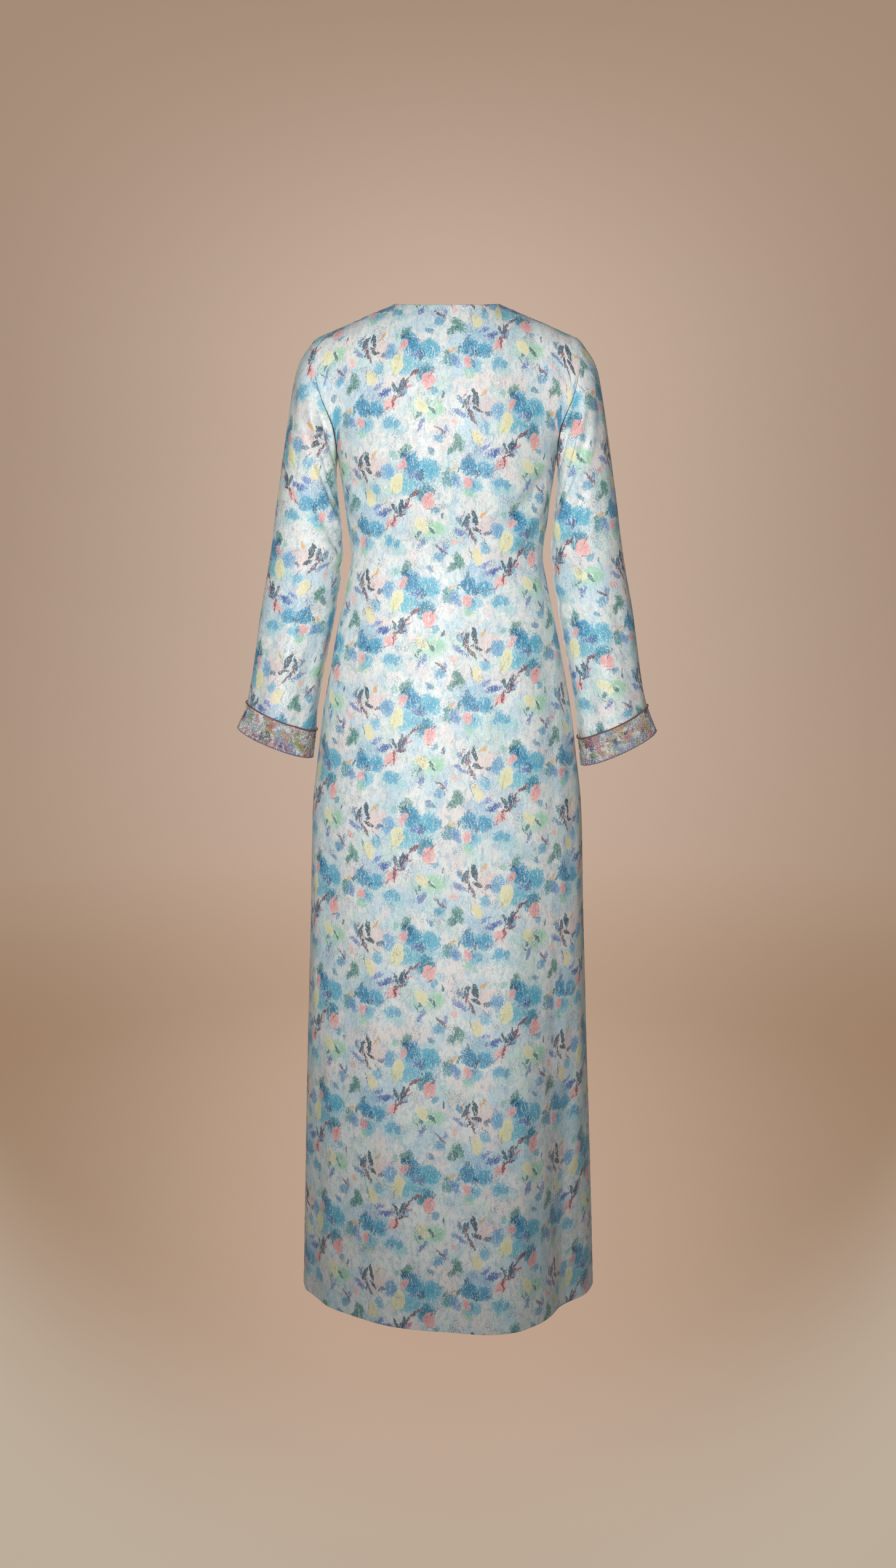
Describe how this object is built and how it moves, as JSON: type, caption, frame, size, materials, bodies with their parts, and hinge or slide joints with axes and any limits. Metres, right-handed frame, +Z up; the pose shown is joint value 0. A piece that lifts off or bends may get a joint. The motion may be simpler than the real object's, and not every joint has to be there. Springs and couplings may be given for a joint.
{
  "type": "abaya",
  "caption": "Full-length long-sleeved abaya of printed satin, shaped at the waist, with flared sleeves and an embroidered band round each wrist, standing open as worn.",
  "frame": {"origin": "midway between the neck ends of the two shoulder seams, where the garment rests on its wearer", "axes": "+Z up along the wearer, -Y out of the wearer's front, +X to the wearer's left"},
  "size_m": [0.593, 0.3889, 1.3921],
  "materials": {
    "satin": "printed crepe satin with a soft gloss",
    "embroidery": "dense bead and thread embroidery on satin",
    "cord": "twisted silky thread"
  },
  "bodies": {
    "root": {"back": "satin", "front_left": "satin", "front_right": "satin", "sleeve_left": "satin", "sleeve_right": "satin", "wrist_band_left": "embroidery", "wrist_band_right": "embroidery", "wrist_cord_left": "cord", "wrist_cord_right": "cord"}
  },
  "joints": []
}
